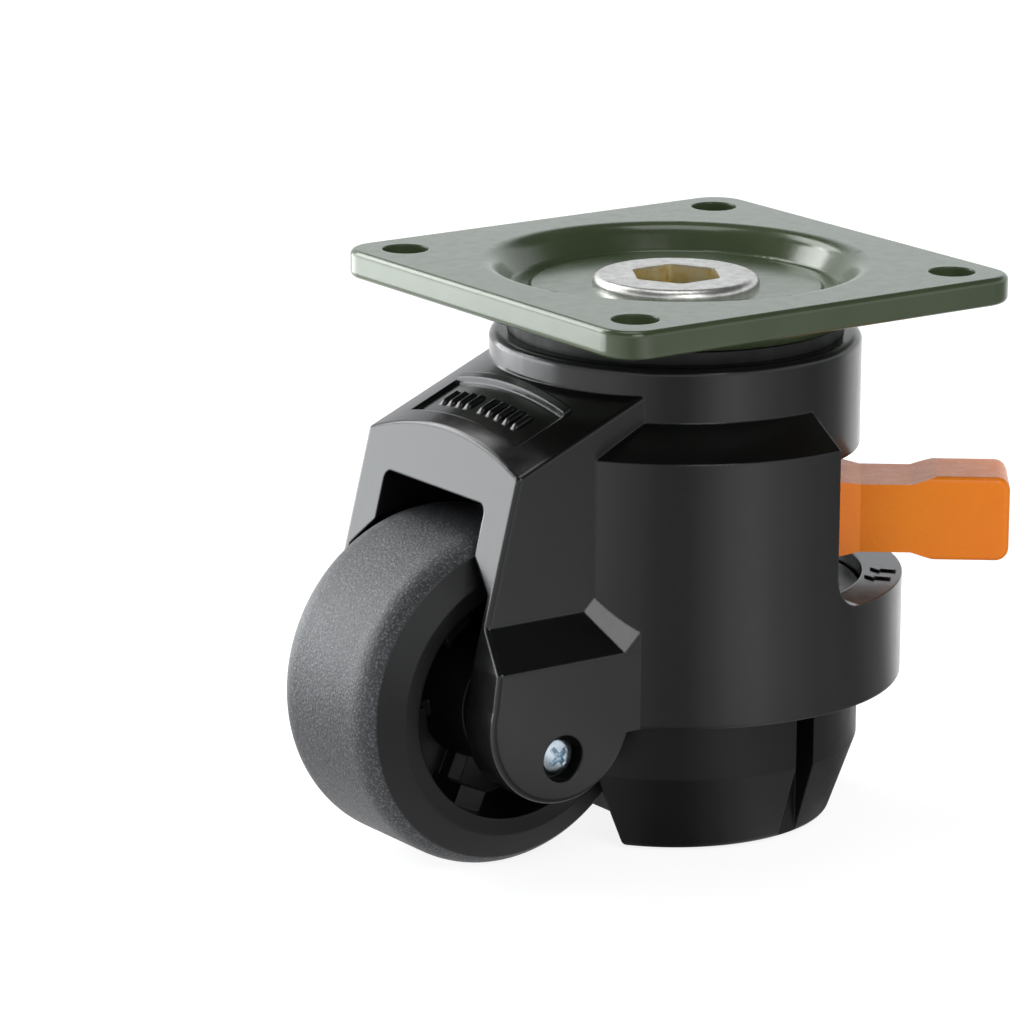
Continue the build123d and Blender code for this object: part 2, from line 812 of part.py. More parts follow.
with BuildPart() as retainer_screws:
    with BuildSketch(level(retainer_under_z)):
        with Locations(lug_spots):
            Circle(small_head_r)
    extrude(amount=-small_head_t)
    with BuildSketch(level(retainer_under_z)):
        with Locations(lug_spots):
            Circle(small_screw_r)
    extrude(amount=retainer_screw_length)
save("retainer_screws", retainer_screws.part)

# ---------------------------------------------------------------- ratchet gear and its washers
with BuildSketch() as tooth:
    with BuildLine():
        Polyline(
            (gear_root_r - tooth_sink, -tooth_base_w / 2),
            (gear_root_r, -tooth_base_w / 2),
            (gear_tip_r, -tooth_tip_w / 2),
            (gear_tip_r, tooth_tip_w / 2),
            (gear_root_r, tooth_base_w / 2),
            (gear_root_r - tooth_sink, tooth_base_w / 2),
            close=True,
        )
    make_face()

with BuildPart() as ratchet_gear:
    with BuildSketch(level(gear_under_z)):
        Circle(gear_root_r)
        with PolarLocations(0, gear_teeth, start_angle=180 - lever_angle):
            add(tooth.sketch)
        Circle(screw_r + running_gap, mode=Mode.SUBTRACT)
    extrude(amount=gear_top_z - gear_under_z)
save("ratchet_gear", ratchet_gear.part)


def thrust_washer(name, under_z):
    """Flat washer between the ratchet gear and the carrier or the retaining plate."""
    with BuildPart() as washer:
        with BuildSketch(level(under_z)):
            Circle(washer_r)
            Circle(screw_r + screw_pass_gap, mode=Mode.SUBTRACT)
        extrude(amount=washer_t)
    save(name, washer.part)


thrust_washer("upper_thrust_washer", gear_top_z + seat_gap)
thrust_washer("lower_thrust_washer", lower_washer_under_z)

# ---------------------------------------------------------------- lever with its rocking pawl
lever_side = Plane(origin=(0, 0, 0), x_dir=lever_dir, z_dir=lever_dir.cross(Vector(0, 0, 1)))

with BuildPart() as lever:
    with BuildSketch(lever_side):
        with BuildLine():
            upper = Polyline(
                (-lever_head_r, lever_mid_z),
                (-lever_head_r, lever_head_top_z),
                (lever_root_u, lever_head_top_z),
                (lever_neck_u, lever_mid_z + neck_h / 2),
                (grip_start_u, lever_mid_z + neck_h / 2),
                (grip_full_u, lever_mid_z + grip_h / 2),
                (grip_end_u, lever_mid_z + grip_h / 2),
                (grip_end_u, lever_mid_z),
            )
            mirror(upper, about=Plane.XZ.offset(-lever_mid_z))
        make_face()
    extrude(amount=lever_head_r, both=True)
    with BuildSketch(lever_level(lever_head_under_z - gear_proud)):
        Circle(lever_head_r)
        Polygon(
            (0, lever_root_half_w),
            (lever_root_u, lever_root_half_w),
            (lever_neck_u, lever_half_w),
            (grip_end_u, lever_half_w),
            (grip_end_u, -lever_half_w),
            (lever_neck_u, -lever_half_w),
            (lever_root_u, -lever_root_half_w),
            (0, -lever_root_half_w),
            align=None,
        )
    extrude(amount=lever_head_h + 2 * gear_proud, mode=Mode.INTERSECT)
    grip_tip = lever.faces().sort_by(Axis(origin=(0, 0, 0), direction=lever_dir))[-1]
    fillet(grip_tip.edges().filter_by(Plane.XY), radius=grip_tip_r)
    fillet(
        lever.edges().filter_by(Axis.Z).sort_by(Axis(origin=(0, 0, 0), direction=lever_dir))[-2:],
        radius=grip_edge_r,
    )
    # gear bore, pawl pocket and pin hole
    with Locations(level(0)):
        Hole(gear_tip_r + running_gap)
    with BuildSketch(lever_level(lever_mid_z - pawl_bay_h / 2)):
        Polygon(
            (gear_root_r, pawl_bay_half_w),
            (pawl_bay_throat_u, pawl_bay_half_w),
            (pawl_bay_end_u, pawl_bay_end_half_w),
            (pawl_bay_end_u, -pawl_bay_end_half_w),
            (pawl_bay_throat_u, -pawl_bay_half_w),
            (gear_root_r, -pawl_bay_half_w),
            align=None,
        )
    extrude(amount=pawl_bay_h, mode=Mode.SUBTRACT)
    with BuildSketch(lever_level(lever_head_under_z)):
        with Locations((pawl_pivot_u, 0)):
            Circle(pawl_pin_r + seat_gap)
    extrude(amount=lever_head_h, mode=Mode.SUBTRACT)
save("lever", lever.part)

# the pawl's tip, drawn where it seats in a tooth gap, then turned back to neutral
gap_angle = radians(1.5 * 360 / gear_teeth)
rock = radians(pawl_rock)


def seated(radius, offset):
    """Neutral position of a point of the seated tip, given along and across the tooth gap."""
    u = radius * cos(gap_angle) - offset * sin(gap_angle) - pawl_pivot_u
    v = radius * sin(gap_angle) + offset * cos(gap_angle)
    return (pawl_pivot_u + u * cos(rock) + v * sin(rock), v * cos(rock) - u * sin(rock))


with BuildPart() as pawl:
    with BuildSketch(lever_level(lever_mid_z - pawl_h / 2)):
        with BuildLine():
            arm = Polyline(
                (pawl_hollow_r, 0),
                (pawl_hollow_r, pawl_hollow_half_w),
                seated(pawl_root_r, -pawl_root_w / 2),
                seated(pawl_tip_r, -pawl_tip_w / 2),
                seated(pawl_tip_r, pawl_tip_w / 2),
                seated(pawl_root_r + pawl_root_w, pawl_root_w / 2 + pawl_tip_draft),
                (pawl_pivot_u - pawl_pin_r, pawl_boss_r),
                (pawl_pivot_u, pawl_boss_r),
                (pawl_tail_u - pawl_tail_half_w, 2 * pawl_tail_half_w),
                (pawl_tail_u, pawl_tail_half_w),
                (pawl_tail_u, 0),
            )
            mirror(arm, about=Plane.XZ)
        make_face()
        with Locations((pawl_pivot_u, 0)):
            Circle(pawl_pin_r + running_gap, mode=Mode.SUBTRACT)
    extrude(amount=pawl_h)
save("pawl", pawl.part)

with BuildPart() as pawl_pin:
    with BuildSketch(lever_level(lever_head_under_z + pawl_pin_inset)):
        with Locations((pawl_pivot_u, 0)):
            Circle(pawl_pin_r)
    extrude(amount=lever_head_h - 2 * pawl_pin_inset)
save("pawl_pin", pawl_pin.part)

with BuildPart() as pawl_spring:
    with BuildSketch(lever_level(lever_mid_z - spring_h / 2)):
        with BuildLine():
            bow = ThreePointArc(
                (pawl_bay_end_u - spring_t / 2 - seat_gap, -spring_half_w),
                (pawl_tail_u + spring_t + seat_gap, 0),
                (pawl_bay_end_u - spring_t / 2 - seat_gap, spring_half_w),
            )
            offset(bow, amount=spring_t / 2)
        make_face()
    extrude(amount=spring_h)
save("pawl_spring", pawl_spring.part)

# ---------------------------------------------------------------- levelling screw and foot
with BuildPart() as levelling_screw:
    with BuildSketch(level(screw_flange_top_z)):
        Circle(screw_r)
    extrude(amount=screw_top_z - screw_flange_top_z)
    chamfer(levelling_screw.edges().sort_by(Axis.Z)[-1], length=screw_chamfer)
    with BuildSketch(level(screw_flange_under_z)):
        Circle(screw_flange_r)
    extrude(amount=screw_flange_t)
    with BuildSketch(level(screw_hex_under_z)):
        RegularPolygon(radius=screw_hex_flats / 2, side_count=6, major_radius=False)
    extrude(amount=screw_hex_h)
    with BuildSketch(level(screw_top_z)):
        RegularPolygon(radius=screw_key_flats / 2, side_count=6, major_radius=False)
    extrude(amount=-screw_key_depth, mode=Mode.SUBTRACT)
    with BuildSketch(level(screw_hex_under_z)):
        Circle(foot_screw_r + seat_gap)
    extrude(amount=foot_screw_grip + drill_over, mode=Mode.SUBTRACT)
save("levelling_screw", levelling_screw.part)

pad_top_z = foot_under_z + pad_t - pad_proud


def foot_outline(inset, radius):
    """Foot's round outline with the wheel's slot, brought in by inset on every side."""
    Circle(radius - inset)
    with Locations((foot_slot_x - inset, 0)):
        Rectangle(
            2 * foot_r,
            2 * (foot_slot_half_w + inset),
            align=(Align.MIN, Align.CENTER),
            mode=Mode.SUBTRACT,
        )


with BuildPart() as foot_body:
    with BuildSketch(Plane.XZ):
        with BuildLine():
            FilletPolyline(
                (0, foot_under_z),
                (foot_sole_r, foot_under_z),
                (foot_r, foot_cone_z),
                (foot_r, foot_top_z),
                (foot_r - foot_wall, foot_top_z),
                (foot_r - foot_wall, foot_cavity_z),
                (foot_boss_r, foot_cavity_z),
                (foot_boss_r, screw_flange_under_z),
                (0, screw_flange_under_z),
                (0, foot_under_z),
                radius=(0, foot_edge_r, foot_crease_r, 0, 0, foot_rim_r, foot_rim_r, 0, 0),
            )
        make_face()
    revolve(axis=Axis.Z)
    # slot that straddles the wheel, and grooves for the housing's keys
    with BuildSketch(level(foot_under_z)):
        with Locations((foot_slot_x, 0)):
            Rectangle(2 * foot_r, 2 * foot_slot_half_w, align=(Align.MIN, Align.CENTER))
        for y_dir in (1, -1):
            with Locations((key_x, y_dir * (key_groove_y + foot_r) / 2)):
                Rectangle(key_groove_w, foot_r - key_groove_y)
    extrude(amount=foot_top_z - foot_under_z, mode=Mode.SUBTRACT)
    # hexagon seat for the levelling screw, and the foot screw's way up to it
    with BuildSketch(level(screw_flange_under_z)):
        RegularPolygon(radius=screw_hex_flats / 2 + seat_gap, side_count=6, major_radius=False)
    extrude(amount=-screw_hex_h - seat_gap, mode=Mode.SUBTRACT)
    with BuildSketch(level(foot_under_z)):
        Circle(foot_screw_recess_r)
    extrude(amount=foot_screw_seat_z - foot_under_z, mode=Mode.SUBTRACT)
    with BuildSketch(level(foot_screw_seat_z)):
        Circle(foot_screw_r + seat_gap)
    extrude(amount=screw_hex_under_z - foot_screw_seat_z, mode=Mode.SUBTRACT)
    # recess for the rubber pad
    with BuildSketch(level(foot_under_z)):
        foot_outline(pad_inset - seat_gap, foot_sole_r)
    extrude(amount=pad_top_z - foot_under_z, mode=Mode.SUBTRACT)
save("foot_body", foot_body.part)

with BuildPart() as foot_pad:
    with BuildSketch(level(floor_z)):
        foot_outline(pad_inset, foot_sole_r)
        Circle(foot_screw_recess_r, mode=Mode.SUBTRACT)
    extrude(amount=pad_top_z - floor_z)
save("foot_pad", foot_pad.part)

with BuildPart() as foot_screw:
    with BuildSketch(level(foot_screw_seat_z)):
        Circle(foot_screw_head_r)
    extrude(amount=-foot_screw_head_t)
    with BuildSketch(level(foot_screw_seat_z)):
        Circle(foot_screw_r)
    extrude(amount=screw_hex_under_z + foot_screw_grip - foot_screw_seat_z)
save("foot_screw", foot_screw.part)
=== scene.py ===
"""Levelling castor: materials, small surface details, studio and camera.

Lengths are metres in the CAD frame.
"""

import math

import bmesh
import bpy
from mathutils import Matrix, Vector
from mathutils.bvhtree import BVHTree


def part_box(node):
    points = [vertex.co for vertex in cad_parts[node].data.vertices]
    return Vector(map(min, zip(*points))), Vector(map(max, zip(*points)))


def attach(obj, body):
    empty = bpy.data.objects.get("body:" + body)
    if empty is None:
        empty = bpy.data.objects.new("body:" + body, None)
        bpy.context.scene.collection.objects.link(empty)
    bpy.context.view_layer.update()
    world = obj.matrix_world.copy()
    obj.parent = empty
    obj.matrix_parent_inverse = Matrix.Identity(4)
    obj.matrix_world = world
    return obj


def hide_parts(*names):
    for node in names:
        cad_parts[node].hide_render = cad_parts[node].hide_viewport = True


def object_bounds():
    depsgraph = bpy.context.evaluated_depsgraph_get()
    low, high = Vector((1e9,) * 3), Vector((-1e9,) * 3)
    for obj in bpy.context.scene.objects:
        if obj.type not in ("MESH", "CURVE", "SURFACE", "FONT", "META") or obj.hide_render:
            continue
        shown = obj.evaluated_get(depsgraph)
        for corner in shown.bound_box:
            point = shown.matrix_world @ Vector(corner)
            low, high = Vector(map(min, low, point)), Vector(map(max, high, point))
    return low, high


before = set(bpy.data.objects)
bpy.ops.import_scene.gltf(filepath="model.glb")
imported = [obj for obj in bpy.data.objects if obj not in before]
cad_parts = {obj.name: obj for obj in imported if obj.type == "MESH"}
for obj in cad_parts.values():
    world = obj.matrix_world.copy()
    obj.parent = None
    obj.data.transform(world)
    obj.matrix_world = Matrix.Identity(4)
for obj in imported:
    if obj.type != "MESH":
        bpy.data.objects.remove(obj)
cad_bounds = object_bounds()

MM = 0.001

# ---------------------------------------------------------------- camera
CAMERA_AZIMUTH = math.radians(35.23)  # from +Y towards +X
CAMERA_ELEVATION = math.radians(14.70)
CAMERA_ROLL = math.radians(0.35)
CAMERA_DISTANCE = 0.800
CAMERA_LENS = 189.2  # mm, on a sensor SENSOR_W wide
SENSOR_W = 36.0
CAMERA_TARGET = Vector((0.02527, -0.00617, -0.03636))

to_camera = Vector((
    math.sin(CAMERA_AZIMUTH) * math.cos(CAMERA_ELEVATION),
    math.cos(CAMERA_AZIMUTH) * math.cos(CAMERA_ELEVATION),
    math.sin(CAMERA_ELEVATION),
))
camera_data = bpy.data.cameras.new("camera")
camera_data.sensor_width = SENSOR_W
camera_data.lens = CAMERA_LENS
camera_data.clip_start = 0.01
camera = bpy.data.objects.new("camera", camera_data)
bpy.context.collection.objects.link(camera)
camera.location = CAMERA_TARGET + to_camera * CAMERA_DISTANCE
camera.rotation_mode = "QUATERNION"
camera.rotation_quaternion = (
    (-to_camera).to_track_quat("-Z", "Y") @ Matrix.Rotation(CAMERA_ROLL, 3, "Z").to_quaternion()
)
bpy.context.scene.camera = camera
bpy.context.scene.view_settings.view_transform = "Standard"

camera_right = Vector((-math.cos(CAMERA_AZIMUTH), math.sin(CAMERA_AZIMUTH), 0))


# ---------------------------------------------------------------- materials
BEVEL_SAMPLES = 6


class Nodes:
    """A material's node tree, with short ways to add and join nodes."""

    def __init__(self, name):
        self.material = bpy.data.materials.new(name)
        self.material.use_nodes = True
        self.tree = self.material.node_tree
        self.shader = self.tree.nodes["Principled BSDF"]
        self.place = self.add("ShaderNodeTexCoord").outputs["Object"]

    def add(self, kind, values=(), **settings):
        node = self.tree.nodes.new(kind)
        for key, value in settings.items():
            setattr(node, key, value)
        for key, value in dict(values).items():
            self.put(node.inputs[key], value)
        return node

    def put(self, socket, value):
        if isinstance(value, bpy.types.NodeSocket):
            self.tree.links.new(value, socket)
        else:
            socket.default_value = value

    def noise(self, size, detail=2.0, stretch=(1, 1, 1), roughness=0.5):
        """Noise whose grains are about size metres across."""
        spot = self.add("ShaderNodeMapping", {"Vector": self.place, "Scale": stretch})
        node = self.add(
            "ShaderNodeTexNoise",
            {
                "Vector": spot.outputs[0], "Scale": 1 / size,
                "Detail": detail, "Roughness": roughness,
            },
        )
        return node.outputs["Fac"]

    def spread(self, value, low, high, from_low=0.3, from_high=0.7):
        """The value, stretched from its usual range to low..high."""
        node = self.add(
            "ShaderNodeMapRange",
            {
                "Value": value, "From Min": from_low, "From Max": from_high,
                "To Min": low, "To Max": high,
            },
        )
        return node.outputs[0]

    def maths(self, operation, a, b=0.0):
        node = self.add("ShaderNodeMath", {0: a, 1: b}, operation=operation)
        return node.outputs[0]

    def mix(self, factor, a, b):
        node = self.add("ShaderNodeMix", data_type="RGBA")
        self.put(node.inputs["Factor"], factor)
        self.put(node.inputs[6], a)
        self.put(node.inputs[7], b)
        return node.outputs[2]

    def bump(self, height, distance, strength=1.0, under=None):
        values = {"Height": height, "Distance": distance, "Strength": strength}
        node = self.add("ShaderNodeBump", values)
        if under is not None:
            self.put(node.inputs["Normal"], under)
        return node.outputs[0]

    def rounded(self, radius):
        """Normal of the surface as if its sharp edges were rounded by radius."""
        node = self.add("ShaderNodeBevel", {"Radius": radius}, samples=BEVEL_SAMPLES)
        return node.outputs[0]

    def length(self, vector):
        return self.add("ShaderNodeVectorMath", {0: vector}, operation="LENGTH").outputs["Value"]

    def set(self, **values):
        for key, value in values.items():
            self.put(self.shader.inputs[key.replace("_", " ")], value)
        return self.material


def rgb(red, green, blue):
    """A colour from screen values of 0 to 255."""
    def linear(v):
        v /= 255
        return v / 12.92 if v <= 0.04045 else ((v + 0.055) / 1.055) ** 2.4
    return (linear(red), linear(green), linear(blue), 1.0)


def painted(name, dark, light, gloss, peel, edge=None, **shader):
    """Sprayed paint: tone drift, orange peel, a gloss that varies a little, and softened edges.

    peel is the depth of the orange peel and edge the radius of the edges, in mm.
    """
    n = Nodes(name)
    tone = n.spread(n.noise(14 * MM), 0, 1)
    fine = n.spread(n.noise(2.2 * MM, 3), gloss[0], gloss[1])
    form = n.rounded(edge * MM) if edge else None
    peeled = n.bump(n.noise(1.3 * MM, 1), peel * MM, under=form)
    dusted = n.bump(n.noise(0.25 * MM, 1), 0.003 * MM, under=peeled)
    return n.set(Base_Color=n.mix(tone, dark, light), Roughness=fine, Normal=dusted, **shader)


def moulded(name, dark, light, gloss, grain, edge, grain_size=0.35, **shader):
    """Moulded plastic or rubber with a fine matt grain and softened edges, both in mm."""
    n = Nodes(name)
    tone = n.spread(n.noise(9 * MM), 0, 1)
    rough = n.spread(n.noise(3.0 * MM, 3), gloss[0], gloss[1])
    normal = n.bump(n.noise(grain_size * MM, 2), grain * MM, under=n.rounded(edge * MM))
    return n.set(Base_Color=n.mix(tone, dark, light), Roughness=rough, Normal=normal, **shader)


def steel(name, dark, light, gloss, scratch=0.006, stretch=(1, 1, 12)):
    """Plated or machined steel with fine directional marks."""
    n = Nodes(name)
    tone = n.spread(n.noise(4 * MM, 3), 0, 1)
    marks = n.noise(0.5 * MM, 3, stretch)
    rough = n.spread(marks, gloss[0], gloss[1])
    normal = n.bump(marks, scratch * MM)
    return n.set(Base_Color=n.mix(tone, dark, light), Metallic=1.0, Roughness=rough, Normal=normal)


def wheel_material(axle, crease_r):
    """Charcoal nylon: a coarse grain on the tread, its pale flecks partly the grain's own and
    partly painted glints; smoother and darker side faces.
    """
    n = Nodes("wheel_nylon_look")
    offset = n.add("ShaderNodeVectorMath", {0: n.place, 1: axle}, operation="SUBTRACT")
    flat = n.add(
        "ShaderNodeVectorMath", {0: offset.outputs[0], 1: (1, 0, 1)}, operation="MULTIPLY"
    )
    radius = n.length(flat.outputs[0])
    tread = n.spread(radius, 0, 1, crease_r - 0.05 * MM, crease_r + 0.25 * MM)
    tone = n.spread(n.noise(7 * MM, 3), 0, 1)
    # pale flecks in the tread's colour: partly the grain's own flecks, partly painted glints
    fleck_and_glint = n.spread(n.noise(0.36 * MM, 3, roughness=0.75), 0, 1, 0.50, 0.74)
    worn = n.mix(tone, rgb(34, 35, 37), rgb(46, 47, 50))
    # the tread's colour with the pale flecks mixed in, painted glints among them
    flecked_and_glinting = n.mix(fleck_and_glint, worn, rgb(118, 120, 124))
    smooth = n.mix(tone, rgb(13, 13, 14), rgb(18, 18, 19))
    grain = n.bump(n.noise(0.42 * MM, 3, roughness=0.7), 0.14 * MM, tread, n.rounded(0.4 * MM))
    fine = n.bump(n.noise(1.6 * MM, 2), 0.02 * MM, under=grain)
    rough = n.spread(tread, 0.36, 0.40, 0, 1)
    return n.set(
        Base_Color=n.mix(tread, smooth, flecked_and_glinting), Roughness=rough, Normal=fine,
        Specular_IOR_Level=0.4,
    )


def kingpin_material(socket_r, socket_top):
    """Bright zinc, with the golden tint of passivated plating down in the socket."""
    n = Nodes("kingpin_look")
    flat = n.add("ShaderNodeVectorMath", {0: n.place, 1: (1, 1, 0)}, operation="MULTIPLY")
    radius = n.length(flat.outputs[0])
    height = n.add("ShaderNodeSeparateXYZ", {0: n.place}).outputs["Z"]
    inside = n.maths(
        "MULTIPLY",
        n.spread(radius, 1, 0, socket_r, socket_r + 0.4 * MM),
        n.spread(height, 1, 0, socket_top - 0.6 * MM, socket_top),
    )
    blotch = n.spread(n.noise(2.2 * MM, 3), 0, 1)
    gold = n.mix(blotch, rgb(232, 206, 128), rgb(240, 240, 222))
    zinc = n.mix(n.spread(n.noise(1.5 * MM, 4), 0, 1), rgb(204, 203, 198), rgb(238, 238, 234))
    marks = n.noise(0.3 * MM, 3, (1, 1, 4))
    rough = n.spread(marks, 0.26, 0.42)
    normal = n.bump(marks, 0.012 * MM)
    return n.set(Base_Color=n.mix(inside, zinc, gold), Metallic=1.0, Roughness=rough, Normal=normal)


AXLE = Vector((0.0378, 0, -0.059))  # middle of the wheel
WHEEL_CREASE_R = 23.6 * MM  # where the side faces meet the tread's shoulder
SOCKET_R = 6.9 * MM  # reach of the golden tint in the kingpin

olive = painted(
    "olive_paint", rgb(62, 72, 50), rgb(70, 80, 57), (0.18, 0.25), 0.006, 0.5,
    Coat_Weight=0.3, Coat_Roughness=0.12, Coat_Tint=(0.90, 1.0, 0.88, 1),
)
black = painted("black_paint", rgb(12, 12, 13), rgb(16, 16, 17), (0.15, 0.21), 0.005, 0.4)
orange = painted(
    "orange_paint", rgb(252, 130, 3), rgb(255, 140, 6), (0.24, 0.32), 0.004,
    Specular_IOR_Level=0.4,
)
foot_black = moulded(
    "foot_nylon_look", rgb(13, 13, 14), rgb(17, 17, 18), (0.30, 0.40), 0.006, 0.4,
    Specular_IOR_Level=0.3,
)
rubber = moulded("rubber_look", rgb(16, 16, 16), rgb(24, 24, 23), (0.60, 0.75), 0.02, 0.3)
zinc = steel("zinc_look", rgb(170, 172, 176), rgb(206, 208, 210), (0.22, 0.38))
blue_zinc = steel("blue_zinc_look", rgb(176, 194, 208), rgb(214, 226, 234), (0.16, 0.28))
hardened = steel("hardened_look", rgb(78, 78, 80), rgb(98, 98, 100), (0.32, 0.45))
bronze = steel("bronze_look", rgb(150, 116, 70), rgb(178, 142, 92), (0.30, 0.45))

pin_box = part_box("kingpin")
looks = {
    "top_plate": olive,
    "kingpin": kingpin_material(SOCKET_R, pin_box[1][2]),
    "race_ring": hardened,
    "upper_balls": zinc,
    "lower_balls": zinc,
    "dust_seal": rubber,
    "housing": black,
    "ratchet_carrier": hardened,
    "carrier_screws": zinc,
    "retaining_plate": hardened,
    "retainer_screws": zinc,
    "upper_thrust_washer": bronze,
    "lower_thrust_washer": bronze,
    "axle": zinc,
    "axle_lock_screws": blue_zinc,
    "wheel": wheel_material(AXLE, WHEEL_CREASE_R),
    "wheel_bushes": bronze,
    "ratchet_gear": hardened,
    "foot_body": foot_black,
    "foot_pad": rubber,
    "levelling_screw": zinc,
    "foot_screw": zinc,
    "lever": orange,
    "pawl_pin": zinc,
    "pawl_spring": zinc,
    "pawl": hardened,
}
for name, material in looks.items():
    for material_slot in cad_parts[name].material_slots:
        material_slot.material = material


# ---------------------------------------------------------------- pieces
def piece(name, mesh_maker, material, body, smooth=False):
    """Turns a bmesh made by mesh_maker into an object that rides on a body."""
    form = bmesh.new()
    mesh_maker(form)
    bmesh.ops.recalc_face_normals(form, faces=form.faces)
    for face in form.faces:
        face.smooth = smooth
    mesh = bpy.data.meshes.new(name)
    form.to_mesh(mesh)
    form.free()
    obj = bpy.data.objects.new(name, mesh)
    bpy.context.collection.objects.link(obj)
    mesh.materials.append(material)
    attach(obj, body)
    return obj


def ring_of(form, matrix, radius, height, count):
    return [
        form.verts.new(matrix @ Vector((
            radius * math.cos(2 * math.pi * i / count),
            radius * math.sin(2 * math.pi * i / count),
            height,
        )))
        for i in range(count)
    ]


def join_rings(form, low, high):
    count = len(low)
    for i in range(count):
        form.faces.new((low[i], low[(i + 1) % count], high[(i + 1) % count], high[i]))


SCREW_HEAD_R = 2.5 * MM
SCREW_HEAD_H = 1.8 * MM
SCREW_DOME = 0.45 * MM
SCREW_DOME_POWER = 2.6  # how late the dome falls off towards the rim
SCREW_SHANK_R = 1.5 * MM
SCREW_SHANK_H = 5.0 * MM
CROSS_HALF_W = 0.42 * MM
CROSS_REACH = 1.75 * MM
CROSS_DEPTH = 1.1 * MM
CROSS_WALL_POWER = 4  # steepness of the recess's side walls
CROSS_TAPER = 0.25
CROSS_END_RUN = 0.3 * MM  # least length of the sloped end
CROSS_END_DEPTH = 0.15  # share of the depth that is left at the end
CROSS_TURN = math.radians(38)
HEAD_SEGMENTS = 96
HEAD_RINGS = 22


def head_height(x, y):
    """Height of the domed screw head over its under face, with the cross recess cut in."""
    r = math.hypot(x, y)
    top = SCREW_HEAD_H - SCREW_DOME * (r / SCREW_HEAD_R) ** SCREW_DOME_POWER
    across, along = sorted((abs(x), abs(y)))
    reach = CROSS_REACH * (1 - CROSS_TAPER * max(0.0, along / CROSS_REACH))
    if across < CROSS_HALF_W and along < CROSS_REACH:
        wall = 1 - (across / CROSS_HALF_W) ** CROSS_WALL_POWER
        run = min(1.0, (CROSS_REACH - along) / (CROSS_REACH - reach + CROSS_END_RUN))
        top -= CROSS_DEPTH * wall * max(CROSS_END_DEPTH, run)
    return top


def lock_screws(form):
    """Both cross-head lock screws: domed heads outside, plain shanks inward."""
    box_low, box_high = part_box("axle_lock_screws")
    centre = (Vector(box_low) + Vector(box_high)) / 2
    reach = (box_high[1] - box_low[1]) / 2
    for side in (1, -1):
        outward = Matrix.Rotation(-side * math.pi / 2, 4, "X")
        turn = outward @ Matrix.Rotation(CROSS_TURN, 4, "Z")
        seat = Vector((centre.x, side * (reach - SCREW_HEAD_H), centre.z))
        matrix = Matrix.Translation(seat) @ turn
        rings = []
        for step in range(1, HEAD_RINGS + 1):
            radius = SCREW_HEAD_R * step / HEAD_RINGS
            ring = []
            for i in range(HEAD_SEGMENTS):
                t = 2 * math.pi * i / HEAD_SEGMENTS
                x, y = radius * math.cos(t), radius * math.sin(t)
                ring.append(form.verts.new(matrix @ Vector((x, y, head_height(x, y)))))
            rings.append(ring)
        middle = form.verts.new(matrix @ Vector((0, 0, head_height(0, 0))))
        for i in range(HEAD_SEGMENTS):
            form.faces.new((middle, rings[0][i], rings[0][(i + 1) % HEAD_SEGMENTS]))
        rings.append(ring_of(form, matrix, SCREW_HEAD_R, 0, HEAD_SEGMENTS))
        rings.append(ring_of(form, matrix, SCREW_SHANK_R, 0, HEAD_SEGMENTS))
        rings.append(ring_of(form, matrix, SCREW_SHANK_R, -SCREW_SHANK_H, HEAD_SEGMENTS))
        for low, high in zip(rings, rings[1:]):
            join_rings(form, low, high)
        form.faces.new(rings[-1])


screws = piece("lock_screws_cross_head", lock_screws, blue_zinc, "swivel")
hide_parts("axle_lock_screws")

housing_shape = BVHTree.FromObject(
    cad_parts["housing"], bpy.context.evaluated_depsgraph_get()
)


def top_of_housing(x, y, start=10 * MM):
    """Height of the first surface of the housing below start at a place."""
    hit = housing_shape.ray_cast(Vector((x, y, start)), Vector((0, 0, -1)))
    return hit[0].z


RIB_GROUPS = ((-9.2, 4), (0.6, 5))  # first rib across the hood in mm, ribs in the group
RIB_PITCH = 2.1 * MM
RIB_W = 1.3 * MM
RIB_NEAR_X = 32.6 * MM
RIB_FAR_X = 36.2 * MM
RIB_RISE = 0.65 * MM
RIB_SINK = 0.1 * MM
RIB_END = 0.6 * MM  # length of the sloped end
RIB_END_RISE = 0.15  # share of the rise at the tip of the sloped end
RIB_ARCH = 8  # facets over a rib's round top


def panel_rib(form, y):
    """One round-topped rib with sloped ends that follows the hood's slope."""
    stations = (
        (RIB_NEAR_X, RIB_END_RISE),
        (RIB_NEAR_X + RIB_END, 1),
        (RIB_FAR_X - RIB_END, 1),
        (RIB_FAR_X, RIB_END_RISE),
    )
    rows = []
    for x, share in stations:
        ground = top_of_housing(x, y) - RIB_SINK
        rows.append([
            form.verts.new((
                x,
                y + RIB_W / 2 * math.cos(math.pi * i / RIB_ARCH),
                ground + share * (RIB_RISE + RIB_SINK) * math.sin(math.pi * i / RIB_ARCH),
            ))
            for i in range(RIB_ARCH + 1)
        ])
    for near, far in zip(rows, rows[1:]):
        join_rings(form, near, far)
    form.faces.new(rows[0])
    form.faces.new(rows[-1])


def panel_ribs(form):
    """Plain ribs cast into the hood's sunk panel, in two groups."""
    for first, count in RIB_GROUPS:
        for i in range(count):
            panel_rib(form, first * MM + i * RIB_PITCH)


piece("panel_ribs", panel_ribs, black, "swivel")

# two plain raised arrows on the shelf under the lever
ARROW_PLACES = ((-24.6, 20.0), (-21.2, 22.9))  # middle of each, mm
ARROW_TURN = math.radians(-52)
ARROW_OUTLINE = (  # along and across the arrow, mm
    (-2.0, -0.4), (0.3, -0.4), (0.3, -1.3), (2.0, 0), (0.3, 1.3), (0.3, 0.4), (-2.0, 0.4),
)
ARROW_RISE = 0.3 * MM
ARROW_SINK = 0.15 * MM
UNDER_LEVER_Z = -36 * MM  # inside the lever's window, above the shelf


